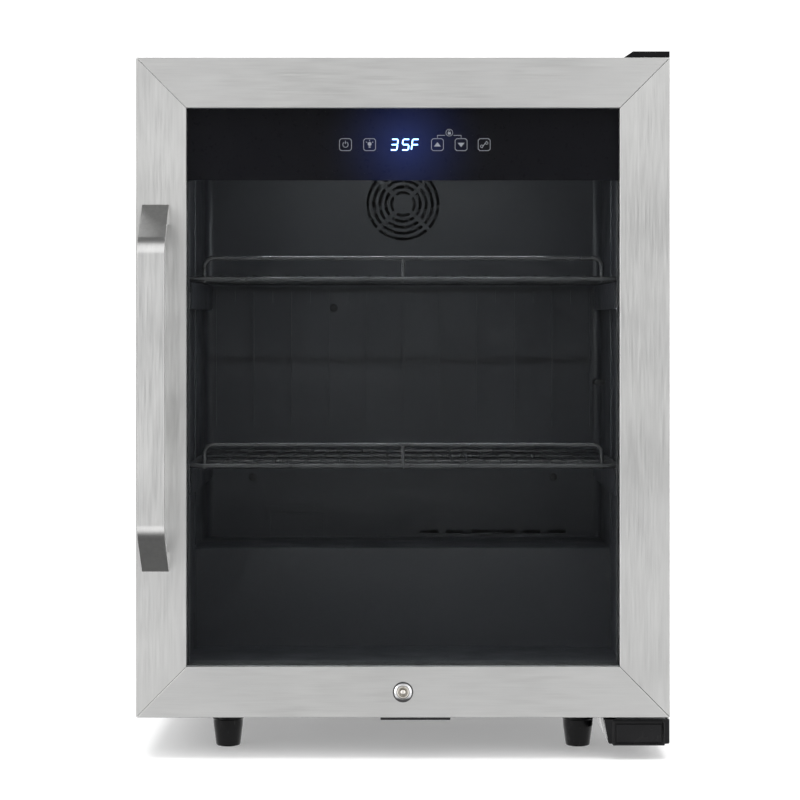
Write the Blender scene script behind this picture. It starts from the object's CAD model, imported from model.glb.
"""Looks for the glass-door mini fridge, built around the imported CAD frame."""

import math

import bmesh
import bpy
from mathutils import Matrix, Vector


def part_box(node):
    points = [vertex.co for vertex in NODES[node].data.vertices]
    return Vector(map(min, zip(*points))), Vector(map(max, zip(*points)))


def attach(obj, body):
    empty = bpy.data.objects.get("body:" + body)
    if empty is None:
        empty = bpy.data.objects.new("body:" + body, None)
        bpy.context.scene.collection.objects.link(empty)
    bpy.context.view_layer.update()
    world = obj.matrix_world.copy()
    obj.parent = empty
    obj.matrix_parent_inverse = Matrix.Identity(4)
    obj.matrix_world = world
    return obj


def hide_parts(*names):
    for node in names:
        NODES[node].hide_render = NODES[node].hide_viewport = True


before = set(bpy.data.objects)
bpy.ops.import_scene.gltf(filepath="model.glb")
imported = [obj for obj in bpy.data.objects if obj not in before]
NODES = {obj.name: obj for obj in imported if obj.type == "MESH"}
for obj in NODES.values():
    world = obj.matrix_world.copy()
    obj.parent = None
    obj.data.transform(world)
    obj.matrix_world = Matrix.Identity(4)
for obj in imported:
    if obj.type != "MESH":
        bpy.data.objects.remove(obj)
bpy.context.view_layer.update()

MM = 0.001
GRAIN_X, GRAIN_Z = 0, 2

# Front of the door, taken from the CAD frame
DOOR_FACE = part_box("door_trim_left")[0][1]


# ---- Camera, light and floor ----

CAMERA_DISTANCE = 2.2
CAMERA_HEIGHT = 0.389
LENS = 112.5
FRAME_PX = 800
HORIZON_RISE_PX = 81.2
CENTRE_SHIFT_PX = 3
STUDIO_LEVEL = 1.25
# Dimmed parts of the studio: direction, cosines where the dimming starts and ends, and level there
CAMERA_CARD = ((0, -0.9998, -0.018), 0.974, 0.990, 0.010)
CEILING = ((0, 0, 1), 0.66, 0.94, 0.12)
GROUND = ((0, 0, -1), 0.5, 0.86, 0.10)
FLOOR_RADIUS = 0.64
FLOOR_CENTRE = (0, 0.02, 0)


def add_camera():
    """A level camera in front of the door, with its frame shifted down as in a catalogue picture."""
    data = bpy.data.cameras.new("camera")
    data.lens = LENS
    data.sensor_width = 36
    data.shift_x = -CENTRE_SHIFT_PX / FRAME_PX
    data.shift_y = -HORIZON_RISE_PX / FRAME_PX
    data.clip_end = 50
    camera = bpy.data.objects.new("camera", data)
    bpy.context.collection.objects.link(camera)
    camera.location = (0, DOOR_FACE - CAMERA_DISTANCE, CAMERA_HEIGHT)
    camera.rotation_euler = (math.radians(90), 0, 0)
    bpy.context.scene.camera = camera


def add_light(name, place, aim, size, watts, color=(1, 1, 1)):
    data = bpy.data.lights.new(name, "AREA")
    data.shape = "RECTANGLE"
    data.size, data.size_y = size
    data.energy = watts
    data.color = color
    light = bpy.data.objects.new(name, data)
    bpy.context.collection.objects.link(light)
    light.location = place
    light.rotation_euler = (Vector(aim) - Vector(place)).to_track_quat("-Z", "Y").to_euler()
    return light


def add_world():
    """White studio surroundings with a dark card behind the camera, and a dim ceiling and ground.

    The card keeps the glass clear, and the dim parts give the steel its shading. Seen directly, the
    studio is plain white."""
    world = bpy.data.worlds.new("studio")
    bpy.context.scene.world = world
    world.use_nodes = True
    nodes = world.node_tree.nodes
    links = world.node_tree.links
    where = nodes.new("ShaderNodeTexCoord")

    def dimmed(direction, start, end, level):
        """White, falling to level as the direction is neared; start and end are cosines."""
        towards = nodes.new("ShaderNodeVectorMath")
        towards.operation = "DOT_PRODUCT"
        towards.inputs[1].default_value = direction
        ramp = nodes.new("ShaderNodeMapRange")
        ramp.interpolation_type = "SMOOTHSTEP"
        ramp.inputs["From Min"].default_value = start
        ramp.inputs["From Max"].default_value = end
        ramp.inputs["To Min"].default_value = 1.0
        ramp.inputs["To Max"].default_value = level
        links.new(where.outputs["Generated"], towards.inputs[0])
        links.new(towards.outputs["Value"], ramp.inputs["Value"])
        return ramp.outputs["Result"]

    level = dimmed(*CAMERA_CARD)
    for card in (dimmed(*CEILING), dimmed(*GROUND)):
        both = nodes.new("ShaderNodeMath")
        both.operation = "MULTIPLY"
        links.new(level, both.inputs[0])
        links.new(card, both.inputs[1])
        level = both.outputs["Value"]
    path = nodes.new("ShaderNodeLightPath")
    seen = nodes.new("ShaderNodeMath")
    seen.operation = "MAXIMUM"
    brightness = nodes.new("ShaderNodeMath")
    brightness.operation = "MULTIPLY"
    brightness.inputs[1].default_value = STUDIO_LEVEL
    links.new(level, brightness.inputs[0])
    links.new(brightness.outputs["Value"], seen.inputs[0])
    links.new(path.outputs["Is Camera Ray"], seen.inputs[1])
    links.new(seen.outputs["Value"], nodes["Background"].inputs["Strength"])
    nodes["Background"].inputs["Color"].default_value = (1, 1, 1, 1)
    bpy.context.scene.view_settings.view_transform = "Standard"


def add_floor():
    """A pale round floor that fades into the white studio at its rim."""
    mesh = bpy.data.meshes.new("floor")
    shape = bmesh.new()
    bmesh.ops.create_circle(shape, cap_ends=True, radius=FLOOR_RADIUS, segments=96)
    bmesh.ops.translate(shape, verts=shape.verts, vec=FLOOR_CENTRE)
    shape.to_mesh(mesh)
    shape.free()
    floor = bpy.data.objects.new("floor", mesh)
    bpy.context.collection.objects.link(floor)
    look = Look("pale_floor", (0.88, 0.88, 0.88), 0.6)
    look.mottle((0.84, 0.84, 0.84), scale=3, amount=0.6)
    look.rough_noise(0.5, 0.7, scale=30)
    tree = look.tree
    away = tree.nodes.new("ShaderNodeVectorMath")
    away.operation = "DISTANCE"
    away.inputs[1].default_value = FLOOR_CENTRE
    tree.links.new(look.place, away.inputs[0])
    fade = look.spread(away.outputs["Value"], 1, 0, FLOOR_RADIUS * 0.62, FLOOR_RADIUS * 0.99)
    tree.links.new(fade, look.shader.inputs["Alpha"])
    look.shader.inputs["Emission Color"].default_value = (1, 1, 1, 1)
    look.shader.inputs["Emission Strength"].default_value = 0.28
    floor.data.materials.append(look.material)
    floor.visible_glossy = False


# ---- Materials ----

class Look:
    """A Principled material with helpers that add colour variation, roughness and relief."""

    def __init__(self, name, color, roughness, metallic=0.0, **sockets):
        self.material = bpy.data.materials.new(name)
        self.material.use_nodes = True
        self.tree = self.material.node_tree
        self.shader = self.tree.nodes["Principled BSDF"]
        self.shader.inputs["Base Color"].default_value = (*color, 1)
        self.shader.inputs["Roughness"].default_value = roughness
        self.shader.inputs["Metallic"].default_value = metallic
        for key, value in sockets.items():
            self.shader.inputs[key.replace("_", " ")].default_value = value
        self.place = self.tree.nodes.new("ShaderNodeTexCoord").outputs["Object"]
        self.normal = None

    def stretched(self, stretch):
        mapping = self.tree.nodes.new("ShaderNodeMapping")
        mapping.inputs["Scale"].default_value = stretch
        self.tree.links.new(self.place, mapping.inputs["Vector"])
        return mapping.outputs["Vector"]

    def noise(self, scale, detail=3.0, rough=0.55, stretch=None, distortion=0.0):
        node = self.tree.nodes.new("ShaderNodeTexNoise")
        node.inputs["Scale"].default_value = scale
        node.inputs["Detail"].default_value = detail
        node.inputs["Roughness"].default_value = rough
        node.inputs["Distortion"].default_value = distortion
        source = self.stretched(stretch) if stretch else self.place
        self.tree.links.new(source, node.inputs["Vector"])
        return node.outputs["Fac"]

    def cells(self, scale, stretch=None, output="Distance"):
        node = self.tree.nodes.new("ShaderNodeTexVoronoi")
        node.inputs["Scale"].default_value = scale
        source = self.stretched(stretch) if stretch else self.place
        self.tree.links.new(source, node.inputs["Vector"])
        return node.outputs[output]

    def spread(self, value, low, high, start=0.3, end=0.7):
        """Value from start to end becomes low to high."""
        node = self.tree.nodes.new("ShaderNodeMapRange")
        node.inputs["From Min"].default_value = start
        node.inputs["From Max"].default_value = end
        node.inputs["To Min"].default_value = low
        node.inputs["To Max"].default_value = high
        self.tree.links.new(value, node.inputs["Value"])
        return node.outputs["Result"]

    def math(self, operation, a, b):
        node = self.tree.nodes.new("ShaderNodeMath")
        node.operation = operation
        for socket, value in zip(node.inputs, (a, b)):
            if isinstance(value, (int, float)):
                socket.default_value = value
            else:
                self.tree.links.new(value, socket)
        return node.outputs["Value"]

    def tint(self, factor, color):
        """Mixes the base colour towards another colour by a factor."""
        node = self.tree.nodes.new("ShaderNodeMix")
        node.data_type = "RGBA"
        a, b, result = node.inputs[6], node.inputs[7], node.outputs[2]
        base = self.shader.inputs["Base Color"]
        if base.is_linked:
            self.tree.links.new(base.links[0].from_socket, a)
        else:
            a.default_value = base.default_value
        b.default_value = (*color, 1)
        self.tree.links.new(factor, node.inputs[0])
        self.tree.links.new(result, base)

    def mottle(self, color, scale, amount):
        """Soft patches of another colour."""
        self.tint(self.spread(self.noise(scale, 4.0), 0, amount, 0.35, 0.65), color)

    def rough_from(self, value):
        socket = self.shader.inputs["Roughness"]
        if socket.is_linked:
            value = self.math("ADD", socket.links[0].from_socket, value)
        self.tree.links.new(value, socket)

    def rough_noise(self, low, high, scale):
        self.rough_from(self.spread(self.noise(scale, 4.0), low, high))

    def bump(self, height, distance, strength=1.0):
        node = self.tree.nodes.new("ShaderNodeBump")
        node.inputs["Strength"].default_value = strength
        node.inputs["Distance"].default_value = distance
        self.tree.links.new(height, node.inputs["Height"])
        if self.normal:
            self.tree.links.new(self.normal, node.inputs["Normal"])
        self.normal = node.outputs["Normal"]
        self.tree.links.new(self.normal, self.shader.inputs["Normal"])


def brushed_steel(name, grain_axis, grey=0.6, streaks=0.35, streak_scale=420):
    """Stainless sheet with a fine directional grain along one axis, faint streaks and finger haze."""
    look = Look(name, (grey, grey, grey - 0.008), 0.34, metallic=1.0, Anisotropic=0.65)
    hair_stretch = [1.0, 1.0, 1.0]
    hair_stretch[grain_axis] = 0.02
    streak_stretch = [1.0, 1.0, 1.0]
    streak_stretch[grain_axis] = 0.06
    hair = look.noise(1300, 2.0, 0.6, stretch=hair_stretch)
    streak = look.noise(streak_scale, 3.0, 0.6, stretch=streak_stretch)
    look.tint(look.spread(streak, 0, streaks), (grey - 0.1, grey - 0.1, grey - 0.103))
    look.tint(look.spread(hair, 0, 0.4), (grey + 0.08, grey + 0.08, grey + 0.07))
    look.mottle((grey - 0.03, grey - 0.03, grey - 0.028), scale=9, amount=0.3)
    look.rough_from(look.spread(hair, 0.30, 0.38))
    look.rough_noise(-0.02, 0.03, scale=14)
    look.bump(hair, 0.00002, 0.25)
    look.bump(streak, 0.00003, 0.12)
    # Reflections spread across the grain; the small slant keeps this defined on the end faces
    across = look.tree.nodes.new("ShaderNodeVectorTransform")
    across.vector_type = "VECTOR"
    across.convert_from, across.convert_to = "OBJECT", "WORLD"
    across.inputs["Vector"].default_value = (0.02, 0.08, 1) if grain_axis == GRAIN_X else (1, 0.08, 0.02)
    look.tree.links.new(across.outputs["Vector"], look.shader.inputs["Tangent"])
    return look.material


def powder_coat(name):
    """Black textured paint with a fine pebble and slight rub marks."""
    look = Look(name, (0.009, 0.009, 0.010), 0.5, Specular_IOR_Level=0.36)
    pebble = look.noise(1100, 2.0, 0.5)
    swell = look.noise(220, 2.0, 0.5)
    look.tint(look.spread(pebble, 0, 0.7, 0.5, 0.8), (0.026, 0.026, 0.028))
    look.mottle((0.012, 0.012, 0.0135), scale=5, amount=0.5)
    rub = look.noise(38, 5.0, 0.7, stretch=(1.0, 1.0, 0.25))
    look.tint(look.spread(rub, 0, 0.5, 0.66, 0.8), (0.03, 0.03, 0.032))
    look.rough_noise(0.42, 0.52, scale=300)
    look.bump(pebble, 0.00012, 0.6)
    look.bump(swell, 0.0002, 0.25)
    return look.material


def coated_wire(name):
    """Dark nylon-dipped wire with a soft shine and slight sags in the coating."""
    look = Look(name, (0.020, 0.020, 0.022), 0.22, Specular_IOR_Level=0.75)
    look.mottle((0.034, 0.034, 0.037), scale=45, amount=0.6)
    look.rough_noise(0.14, 0.26, scale=60)
    look.bump(look.noise(180, 2.0), 0.0002, 0.25)
    look.bump(look.noise(1400, 1.0), 0.00003, 0.3)
    return look.material


def zinc_plate(name):
    """Zinc-plated sheet with a soft spangle and a few dull patches."""
    look = Look(name, (0.50, 0.51, 0.53), 0.36, metallic=1.0)
    spangle = look.cells(70, output="Color")
    grey = look.tree.nodes.new("ShaderNodeRGBToBW")
    look.tree.links.new(spangle, grey.inputs["Color"])
    look.tint(look.spread(grey.outputs["Val"], 0, 0.8, 0.2, 0.8), (0.62, 0.63, 0.65))
    look.mottle((0.40, 0.41, 0.42), scale=16, amount=0.5)
    look.rough_from(look.spread(grey.outputs["Val"], 0.28, 0.44, 0.2, 0.8))
    look.rough_noise(-0.03, 0.08, scale=60)
    look.bump(look.noise(900, 2.0), 0.00003, 0.4)
    return look.material


def moulded_plastic(name, color, dust=(0.09, 0.09, 0.095)):
    """Injection-moulded plastic with a spark-eroded grain and light dust."""
    look = Look(name, color, 0.5)
    fine = look.noise(900, 2.0, 0.6)
    look.tint(look.spread(look.noise(11, 5.0), 0, 0.18, 0.45, 0.75), dust)
    look.mottle(tuple(c * 1.5 + 0.004 for c in color), scale=35, amount=0.4)
    look.rough_noise(0.42, 0.58, scale=50)
    look.bump(fine, 0.00008, 0.7)
    look.bump(look.noise(60, 2.0), 0.00016, 0.12)
    return look.material


def gloss_plastic(name, color=(0.006, 0.006, 0.0065), shine=0.2):
    """Polished black plastic with a faint moulding ripple and hairline scratches."""
    look = Look(name, color, 0.2, Specular_IOR_Level=shine)
    scratch = look.noise(420, 1.0, 0.4, stretch=(1.0, 0.05, 0.3), distortion=0.4)
    look.tint(look.spread(scratch, 0, 0.4, 0.66, 0.74), (0.04, 0.04, 0.042))
    look.mottle((0.010, 0.010, 0.011), scale=24, amount=0.6)
    look.rough_noise(0.16, 0.32, scale=38)
    look.bump(look.noise(150, 2.0), 0.0001, 0.15)
    look.bump(scratch, 0.00003, 0.2)
    return look.material


def vacuum_formed(name, color):
    """Low-sheen formed liner sheet with a soft leathery grain and a slightly wavy surface."""
    look = Look(name, color, 0.42)
    look.mottle(tuple(c * 1.35 for c in color), scale=6, amount=0.6)
    look.tint(look.spread(look.noise(700, 2.0), 0, 0.4, 0.5, 0.75), tuple(c * 1.8 for c in color))
    look.rough_noise(0.34, 0.5, scale=25)
    look.bump(look.cells(420), 0.00006, 0.3)
    look.bump(look.noise(9, 2.0), 0.0012, 0.1)
    return look.material


def soft_rubber(name):
    """Matte extruded rubber with a pale bloom and a fine grain."""
    look = Look(name, (0.018, 0.018, 0.019), 0.62)
    look.mottle((0.045, 0.045, 0.047), scale=30, amount=0.5)
    look.tint(look.spread(look.noise(12, 5.0), 0, 0.25, 0.5, 0.75), (0.08, 0.08, 0.08))
    look.rough_noise(0.55, 0.75, scale=80)
    look.bump(look.noise(800, 2.0), 0.00005, 0.5)
    return look.material


def polished_metal(name, color, rough=(0.08, 0.2)):
    """Plated or drawn metal with a few scuffs and a slightly uneven shine."""
    look = Look(name, color, rough[0], metallic=1.0)
    look.mottle(tuple(c * 0.82 for c in color), scale=90, amount=0.5)
    look.rough_noise(rough[0], rough[1], scale=160)
    look.bump(look.noise(1400, 2.0), 0.00002, 0.35)
    return look.material


def tarnished_copper(name):
    look = Look(name, (0.46, 0.22, 0.13), 0.34, metallic=1.0)
    look.mottle((0.20, 0.10, 0.065), scale=70, amount=0.8)
    look.mottle((0.56, 0.33, 0.22), scale=180, amount=0.5)
    look.rough_noise(0.22, 0.48, scale=120)
    look.bump(look.noise(900, 2.0), 0.00004, 0.4)
    return look.material


def closed_cell_foam(name):
    look = Look(name, (0.66, 0.55, 0.30), 0.85)
    look.mottle((0.48, 0.37, 0.18), scale=40, amount=0.7)
    look.rough_noise(0.8, 0.95, scale=100)
    look.bump(look.cells(500), 0.0006, 0.8)
    return look.material


def printed_solder_mask(name):
    look = Look(name, (0.01, 0.07, 0.03), 0.35)
    tracks = look.cells(260, stretch=(1.0, 1.0, 0.35))
    look.tint(look.spread(tracks, 0, 0.6, 0.2, 0.5), (0.02, 0.13, 0.06))
    look.rough_noise(0.25, 0.45, scale=200)
    look.bump(tracks, 0.0001, 0.4)
    return look.material


def clear_glass(name):
    """Flat glass that lets lamps through, with a faint wipe haze."""
    tint = (0.955, 0.966, 0.968)
    look = Look(name, tint, 0.0, Transmission_Weight=1.0, IOR=1.5, Specular_IOR_Level=0.24)
    look.rough_from(look.spread(look.noise(7, 5.0, 0.6, stretch=(1.0, 1.0, 0.5)), 0.0, 0.012, 0.45, 0.8))
    tree = look.tree
    path = tree.nodes.new("ShaderNodeLightPath")
    through = tree.nodes.new("ShaderNodeBsdfTransparent")
    through.inputs["Color"].default_value = (*tint, 1)
    mix = tree.nodes.new("ShaderNodeMixShader")
    tree.links.new(path.outputs["Is Shadow Ray"], mix.inputs["Fac"])
    tree.links.new(look.shader.outputs["BSDF"], mix.inputs[1])
    tree.links.new(through.outputs["BSDF"], mix.inputs[2])
    tree.links.new(mix.outputs["Shader"], tree.nodes["Material Output"].inputs["Surface"])
    return look.material


# How far the light of the digits bleeds into the print, in metres, and how strong it is
GLOW_REACH = 0.082
GLOW_STRENGTH = 0.26


def black_screen_print(name):
    """Ceramic print on the glass, with the blue light of the digits bleeding into it."""
    look = Look(name, (0.0045, 0.0045, 0.006), 0.3, Specular_IOR_Level=0.08)
    look.mottle((0.006, 0.006, 0.0075), scale=60, amount=0.6)
    look.rough_noise(0.26, 0.36, scale=300)
    low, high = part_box("temperature_digits")
    centre = [(a + b) / 2 for a, b in zip(low, high)]
    tree = look.tree
    away = tree.nodes.new("ShaderNodeVectorMath")
    away.operation = "DISTANCE"
    away.inputs[1].default_value = centre
    tree.links.new(look.place, away.inputs[0])
    near = look.spread(away.outputs["Value"], 1, 0, 0.004, GLOW_REACH)
    glow = look.math("POWER", near, 2.6)
    look.shader.inputs["Emission Color"].default_value = (0.055, 0.095, 0.46, 1)
    tree.links.new(look.math("MULTIPLY", glow, GLOW_STRENGTH), look.shader.inputs["Emission Strength"])
    return look.material


def lit_segments(name):
    look = Look(name, (0.4, 0.65, 1.0), 0.4)
    level = look.spread(look.noise(400, 2.0), 2.2, 3.2)
    look.shader.inputs["Emission Color"].default_value = (0.42, 0.66, 1.0, 1)
    look.tree.links.new(level, look.shader.inputs["Emission Strength"])
    return look.material


def pale_print(name):
    look = Look(name, (0.44, 0.45, 0.47), 0.5)
    look.mottle((0.34, 0.35, 0.37), scale=500, amount=0.6)
    look.rough_noise(0.4, 0.6, scale=700)
    look.shader.inputs["Emission Color"].default_value = (0.55, 0.57, 0.62, 1)
    look.shader.inputs["Emission Strength"].default_value = 0.2
    return look.material


MATERIALS = {
    "steel_across": brushed_steel("brushed_steel_across", GRAIN_X, 0.645),
    "steel_up": brushed_steel("brushed_steel_up", GRAIN_Z, 0.585),
    "steel_bar": brushed_steel("brushed_steel_bar", GRAIN_Z, 0.63, streaks=1.0, streak_scale=240),
    "coat": powder_coat("black_powder_coat"),
    "wire": coated_wire("coated_wire"),
    "zinc": zinc_plate("zinc_plate"),
    "plastic": moulded_plastic("black_moulded_plastic", (0.016, 0.016, 0.017)),
    "gloss": gloss_plastic("black_gloss_plastic"),
    "deep_gloss": gloss_plastic("deep_black_plastic", (0.0045, 0.0045, 0.005), 0.12),
    "liner": vacuum_formed("black_formed_liner", (0.034, 0.035, 0.040)),
    "foam": closed_cell_foam("yellow_foam"),
    "glass": clear_glass("clear_glass"),
    "print": black_screen_print("black_glass_print"),
    "keys": pale_print("grey_key_print"),
    "digits": lit_segments("lit_digits"),
    "rubber": soft_rubber("black_rubber"),
    "chrome": polished_metal("polished_chrome", (0.66, 0.66, 0.67)),
    "nickel": polished_metal("satin_nickel", (0.74, 0.71, 0.66), (0.28, 0.42)),
    "copper": tarnished_copper("copper_tube"),
    "aluminium": polished_metal("rolled_aluminium", (0.72, 0.73, 0.75), (0.25, 0.4)),
    "white": moulded_plastic("white_plastic", (0.72, 0.72, 0.69), dust=(0.6, 0.58, 0.52)),
    "cream": moulded_plastic("cream_plastic", (0.60, 0.56, 0.45), dust=(0.45, 0.4, 0.3)),
    "board": printed_solder_mask("green_circuit_board"),
}

NODE_LOOKS = {
    "steel_across": ["door_trim_top", "door_trim_bottom"],
    "steel_up": ["door_trim_left", "door_trim_right"],
    "steel_bar": ["door_handle"],
    "coat": ["outer_shell", "base_plate", "compressor", "condenser_tube", "condenser_wires", "lock_strike"],
    "wire": ["upper_shelf", "middle_shelf"],
    "zinc": ["back_panel", "machine_room_bulkhead", "compressor_bolts", "top_hinge_bracket",
             "top_hinge_screws", "bottom_hinge_bracket", "bottom_hinge_screws", "handle_screws", "lock_cam"],
    "plastic": ["rear_panel_screws", "fan_frame", "fan_rotor", "light_housing", "condenser_bumpers",
                "drain_tray", "drain_tube", "control_box", "door_core_frame", "control_housing",
                "temperature_sensor"],
    "gloss": ["bottom_hinge_cover"],
    "deep_gloss": ["top_hinge_cover", "rear_feet", "front_left_foot", "front_right_foot"],
    "liner": ["inner_liner", "rear_air_panel"],
    "foam": ["foam_insulation"],
    "glass": ["outer_glass", "inner_glass"],
    "print": ["glass_print_band"],
    "keys": ["touch_icons"],
    "digits": ["temperature_digits"],
    "rubber": ["compressor_mounts", "cord_gland", "door_gasket"],
    "chrome": ["lock_housing", "lock_plug"],
    "copper": ["drier_filter", "refrigerant_pipes"],
    "aluminium": ["evaporator", "glass_spacer"],
    "white": ["light_lens", "hinge_bushes"],
    "cream": ["start_relay"],
    "board": ["control_board"],
}

# Rounding of the sharp edges on CAD nodes, in millimetres
EDGE_ROUNDING = {
    "door_trim_top": 0.5, "door_trim_bottom": 0.5, "door_trim_left": 0.5, "door_trim_right": 0.5,
    "door_handle": 2.2, "outer_shell": 0.6, "back_panel": 0.3, "top_hinge_cover": 0.9,
    "bottom_hinge_cover": 0.8, "control_box": 1.5, "start_relay": 1.5, "drain_tray": 0.5,
    "light_housing": 0.5, "inner_liner": 0.8, "rear_air_panel": 0.5, "door_core_frame": 0.6,
    "control_housing": 0.8, "outer_glass": 0.4, "inner_glass": 0.4, "base_plate": 0.3,
    "lock_strike": 0.4, "fan_frame": 0.6, "fan_rotor": 0.3, "temperature_sensor": 0.6,
    "top_hinge_bracket": 0.4, "bottom_hinge_bracket": 0.4, "lock_cam": 0.3,
}


def finish_cad_nodes():
    """Gives every CAD node its material, and rounds the edges that catch light."""
    for look, names in NODE_LOOKS.items():
        for name in names:
            mesh = NODES[name].data
            mesh.materials.clear()
            mesh.materials.append(MATERIALS[look])
    for name, width in EDGE_ROUNDING.items():
        node = NODES[name]
        weld = node.modifiers.new("weld", "WELD")
        weld.merge_threshold = 0.00001
        flat = node.modifiers.new("flat_faces", "DECIMATE")
        flat.decimate_type = "DISSOLVE"
        flat.angle_limit = math.radians(0.3)
        bevel = node.modifiers.new("edges", "BEVEL")
        bevel.width = width * MM
        bevel.segments = 2 if width < 1 else 4
        bevel.limit_method = "ANGLE"
        bevel.angle_limit = math.radians(35)
        bevel.harden_normals = True


# ---- Shapes ----

def make_piece(name, shape, look, body, stands_for=(), sharp_above=35):
    """A finished object made from a bmesh, riding on a body."""
    bmesh.ops.recalc_face_normals(shape, faces=shape.faces)
    mesh = bpy.data.meshes.new(name)
    shape.to_mesh(mesh)
    shape.free()
    mesh.shade_smooth()
    mesh.set_sharp_from_angle(angle=math.radians(sharp_above))
    mesh.materials.append(MATERIALS[look])
    piece = bpy.data.objects.new(name, mesh)
    bpy.context.collection.objects.link(piece)
    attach(piece, body)
    if stands_for:
        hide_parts(*stands_for)
    return piece


def skin_between(shape, rings, closed_rings=True):
    """Faces between each ring of vertices and the next; a ring of one vertex is a pole."""
    for a, b in zip(rings, rings[1:]):
        count = max(len(a), len(b))
        for i in range(count if closed_rings else count - 1):
            j = (i + 1) % count
            if len(a) == 1:
                shape.faces.new((a[0], b[j], b[i]))
            elif len(b) == 1:
                shape.faces.new((a[i], a[j], b[0]))
            else:
                shape.faces.new((a[i], a[j], b[j], b[i]))


def turned(profile, centre=(0, 0), steps=48, closed=False):
    """A solid turned about a line along Y; the profile is (radius, y) pairs, in metres."""
    shape = bmesh.new()
    rings = []
    for radius, y in profile:
        count = steps if radius > 1e-9 else 1
        angles = [2 * math.pi * i / steps for i in range(count)]
        rings.append([shape.verts.new((centre[0] + radius * math.cos(a), y,
                                       centre[1] + radius * math.sin(a))) for a in angles])
    if closed:
        rings.append(rings[0])
    skin_between(shape, rings)
    return shape


def box_shape(low, high):
    shape = bmesh.new()
    bmesh.ops.create_cube(shape, size=1)
    for vert in shape.verts:
        vert.co = [lo + (hi - lo) * (c + 0.5) for lo, hi, c in zip(low, high, vert.co)]
    return shape


def carved(shape, cutter):
    """The shape less the cutter."""
    both = []
    for part in (shape, cutter):
        bmesh.ops.recalc_face_normals(part, faces=part.faces)
        mesh = bpy.data.meshes.new("scratch")
        part.to_mesh(mesh)
        part.free()
        both.append(bpy.data.objects.new("scratch", mesh))
        bpy.context.collection.objects.link(both[-1])
    cut = both[0].modifiers.new("cut", "BOOLEAN")
    cut.operation = "DIFFERENCE"
    cut.solver = "EXACT"
    cut.object = both[1]
    result = bmesh.new()
    result.from_object(both[0], bpy.context.evaluated_depsgraph_get())
    for scratch in both:
        mesh = scratch.data
        bpy.data.objects.remove(scratch)
        bpy.data.meshes.remove(mesh)
    return result


def repeated(shape, places):
    """Copies of one shape, each moved by a matrix, in a single bmesh."""
    mesh = bpy.data.meshes.new("scratch")
    shape.to_mesh(mesh)
    shape.free()
    result = bmesh.new()
    for place in places:
        copy = mesh.copy()
        copy.transform(place)
        result.from_mesh(copy)
        bpy.data.meshes.remove(copy)
    bpy.data.meshes.remove(mesh)
    return result


def islands(node):
    """The lowest and highest corners of each separate solid of a CAD node."""
    shape = bmesh.new()
    shape.from_mesh(NODES[node].data)
    bmesh.ops.remove_doubles(shape, verts=shape.verts, dist=0.01 * MM)
    left = set(shape.verts)
    found = []
    while left:
        group = [left.pop()]
        for vert in group:
            for edge in vert.link_edges:
                other = edge.other_vert(vert)
                if other in left:
                    left.remove(other)
                    group.append(other)
        low, high = ([pick(v.co[axis] for v in group) for axis in range(3)] for pick in (min, max))
        found.append((low, high))
    shape.free()
    return sorted(found)


# ---- Detail pieces ----

def screw_shape(radius, height, shank):
    """A domed head with a cross recess, seated at the origin and facing -Y."""
    profile = [(0, -1), (0.4, -0.985), (0.66, -0.9), (0.84, -0.72), (0.96, -0.42), (1, -0.12), (0.97, 0)]
    profile = [(r * radius, y * height) for r, y in profile]
    stem = 0.42 * radius
    head = turned(profile + [(stem, 0), (stem, shank), (0, shank)], steps=32)
    arm, half, floor = 0.58 * radius, 0.13 * radius, -0.35 * height
    for size in ((arm, half), (half, arm)):
        head = carved(head, box_shape((-size[0], -2 * height, -size[1]), (size[0], floor, size[1])))
    return head


def add_panel_screws():
    """Cross-head screws that hold the rear air panel."""
    heads = islands("rear_panel_screws")
    radius = (heads[0][1][0] - heads[0][0][0]) / 2
    places = [Matrix.Translation(((low[0] + high[0]) / 2, low[1] + 1.6 * MM, (low[2] + high[2]) / 2))
              for low, high in heads]
    make_piece("rear_panel_screw_heads", repeated(screw_shape(radius, 1.6 * MM, 5 * MM), places),
               "plastic", "cabinet", stands_for=["rear_panel_screws"])


def add_back_sheet_screws():
    """Screws round the edge of the cabinet's back sheet."""
    low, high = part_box("back_panel")
    inset = 11 * MM
    rows = [low[2] + inset + (high[2] - low[2] - 2 * inset) * t for t in (0, 0.34, 0.67, 1)]
    spots = [(x, z) for x in (low[0] + inset, high[0] - inset) for z in rows]
    spots += [(x, rows[-1]) for x in (-0.11, 0, 0.11)]
    turn = Matrix.Rotation(math.pi, 4, "Z")
    places = [Matrix.Translation((x, high[1], z)) @ turn for x, z in spots]
    make_piece("back_sheet_screws", repeated(screw_shape(3.6 * MM, 1.7 * MM, 6 * MM), places),
               "zinc", "cabinet")


GASKET_WIDTH = 16 * MM
# Cross-section of the seal: distance in from its outer edge in millimetres, and share of its depth
GASKET_PROFILE = [
    (1.5, 0), (14.5, 0), (14.6, 0.10), (13.2, 0.15), (12.5, 0.25), (13.4, 0.35), (14.0, 0.45), (13.5, 0.55),
    (12.7, 0.62), (13.4, 0.69), (15.1, 0.73), (15.9, 0.79), (16.0, 0.88), (15.8, 0.96), (15.2, 1),
    (9.7, 1), (9.3, 0.94), (8.9, 0.94), (8.5, 1), (2.6, 1), (0.9, 0.99), (0.1, 0.95), (0.2, 0.91),
    (2.0, 0.86), (2.9, 0.77), (2.7, 0.68), (1.7, 0.60), (1.2, 0.52), (1.7, 0.43), (2.7, 0.34), (2.6, 0.25),
    (1.4, 0.18), (0.8, 0.09)]


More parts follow.
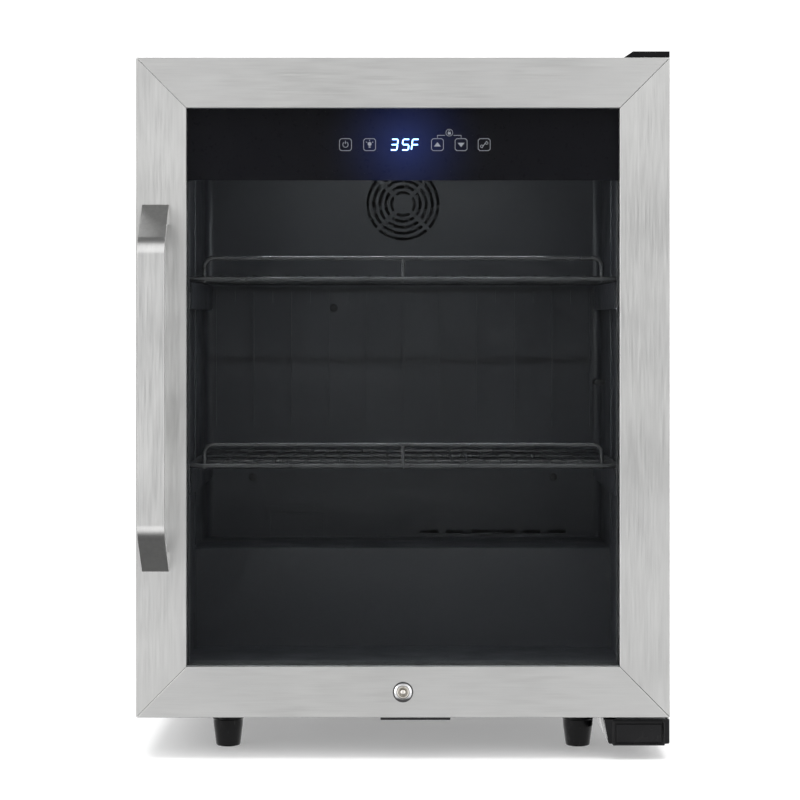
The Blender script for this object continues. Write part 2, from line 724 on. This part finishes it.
def add_gasket():
    """Bellows seal with a magnet strip, mitred at the door's four corners."""
    low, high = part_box("door_gasket")
    shape = bmesh.new()
    corners = []
    for x_end, z_end in ((0, 0), (1, 0), (1, 1), (0, 1)):
        ring = []
        for inward, depth in GASKET_PROFILE:
            x = (low[0] + inward * MM, high[0] - inward * MM)[x_end]
            z = (low[2] + inward * MM, high[2] - inward * MM)[z_end]
            ring.append(shape.verts.new((x, low[1] + (high[1] - low[1]) * depth, z)))
        corners.append(ring)
    skin_between(shape, corners + corners[:1])
    make_piece("bellows_gasket", shape, "rubber", "door", stands_for=["door_gasket"])


def add_lock():
    """Coned lock bezel on a dark washer, and a tubular core with a ring keyway, a notch and a post."""
    low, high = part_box("lock_housing")
    centre = ((low[0] + high[0]) / 2, (low[2] + high[2]) / 2)
    face, back = DOOR_FACE, high[1]
    bezel = [(7.9, -0.6), (7.8, -0.85), (7.5, -1.05), (6.3, -1.85), (6.05, -1.92), (5.85, -1.75), (5.7, -1.3)]
    rings = [(r * MM, face + y * MM) for r, y in bezel]
    rings += [(5.7 * MM, back), (7.9 * MM, back)]
    make_piece("lock_bezel", turned(rings, centre, 64, closed=True), "chrome", "door",
               stands_for=["lock_housing"], sharp_above=24)
    washer = [(7.92, 0), (9, 0), (9, -0.35), (8.85, -0.5), (8.05, -0.5), (7.92, -0.4)]
    make_piece("lock_washer", turned([(r * MM, face + y * MM) for r, y in washer], centre, 64, closed=True),
               "rubber", "door")
    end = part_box("lock_plug")[1][1]
    core = [(0, -1.5), (1.2, -1.4), (2.1, -1.05), (2.5, -0.5), (2.6, 0.2), (2.6, 6), (4.3, 6), (4.3, -0.9),
            (4.55, -1.15), (4.8, -1.15), (5.35, -0.8), (5.5, -0.3)]
    rings = [(r * MM, face + y * MM) for r, y in core]
    rings += [(5.5 * MM, end - 5 * MM), (3 * MM, end - 5 * MM), (3 * MM, end), (0, end)]
    notch = box_shape((centre[0] - 0.7 * MM, face - 2 * MM, centre[1] + 4 * MM),
                      (centre[0] + 0.7 * MM, face + 5 * MM, centre[1] + 5 * MM))
    make_piece("lock_core", carved(turned(rings, centre, 64), notch), "nickel", "lock",
               stands_for=["lock_plug"])


FAN_BLADES = 7


def add_fan_blades():
    """Fan rotor with a domed hub and seven twisted, cambered blades."""
    low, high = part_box("fan_rotor")
    centre = ((low[0] + high[0]) / 2, (low[2] + high[2]) / 2)
    middle = (low[1] + high[1]) / 2
    reach = (high[0] - low[0]) / 2 - 0.6 * MM
    hub = 13 * MM
    front, back = middle - 4.5 * MM, middle + 4.5 * MM
    shape = turned([(0, front - 0.8 * MM), (6 * MM, front - 0.6 * MM), (11 * MM, front),
                    (12.6 * MM, front + 1 * MM), (hub, front + 2.4 * MM), (hub, back), (11.5 * MM, back),
                    (11.5 * MM, front + 3 * MM), (1.6 * MM, front + 3 * MM)], centre, 56)
    across, along, thick = 9, 8, 1.1 * MM
    half_depth = (high[1] - low[1]) / 2 - thick
    for blade in range(FAN_BLADES):
        start = 2 * math.pi * blade / FAN_BLADES
        sides = []
        for side in (-0.5, 0.5):
            rows = []
            for i in range(along):
                t = i / (along - 1)
                radius = hub - 0.8 * MM + (reach - hub + 0.8 * MM) * t
                chord = (15 + 8 * t) * MM
                pitch = math.radians(42 - 16 * t)
                row = []
                for j in range(across):
                    u = j / (across - 1) - 0.5
                    camber = 1.6 * MM * (1 - 4 * u * u)
                    taper = thick * side * (0.35 + 0.65 * math.sqrt(max(0.0, 1 - 4 * u * u)))
                    lift = u * chord * math.sin(pitch) + camber + taper
                    angle = start + u * chord * math.cos(pitch) / radius + 0.22 * t * t
                    y = middle + max(-half_depth, min(half_depth, lift))
                    row.append(shape.verts.new((centre[0] + radius * math.cos(angle), y,
                                                centre[1] + radius * math.sin(angle))))
                rows.append(row)
            skin_between(shape, rows, closed_rings=False)
            sides.append(rows)
        front_rows, back_rows = sides
        outline = ([(r, 0) for r in range(along)] + [(along - 1, c) for c in range(1, across)]
                   + [(r, across - 1) for r in range(along - 2, -1, -1)]
                   + [(0, c) for c in range(across - 2, 0, -1)])
        skin_between(shape, [[rows[r][c] for r, c in outline] for rows in (front_rows, back_rows)])
    make_piece("fan_blades", shape, "plastic", "fan", stands_for=["fan_rotor"])


add_camera()
add_world()
add_floor()
add_light("key_left", (-2.3, -1.75, 0.5), (-0.1, -0.19, 0.32), (0.9, 2.2), 18)
add_light("fill_right", (2.1, -1.9, 0.6), (0, -0.1, 0.32), (1.4, 2.2), 9)
floor_wash = add_light("floor_wash", (0, -1.1, 2.5), (0, -0.4, 0), (2.2, 1.0), 36)
floor_wash.visible_glossy = False
lens_low, lens_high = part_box("light_lens")
lens = [(a + b) / 2 for a, b in zip(lens_low, lens_high)]
add_light("cabinet_lamp", (lens[0], lens[1], lens_low[2] - 2 * MM), (lens[0], lens[1] + 0.1, 0.1),
          (lens_high[0] - lens_low[0], 0.008), 0.42, (0.9, 0.95, 1))
add_light("top_soft", (0, 1.0, 2.3), (0, 0, 0.5), (2.4, 1.2), 30)
finish_cad_nodes()
add_panel_screws()
add_back_sheet_screws()
add_gasket()
add_lock()
add_fan_blades()
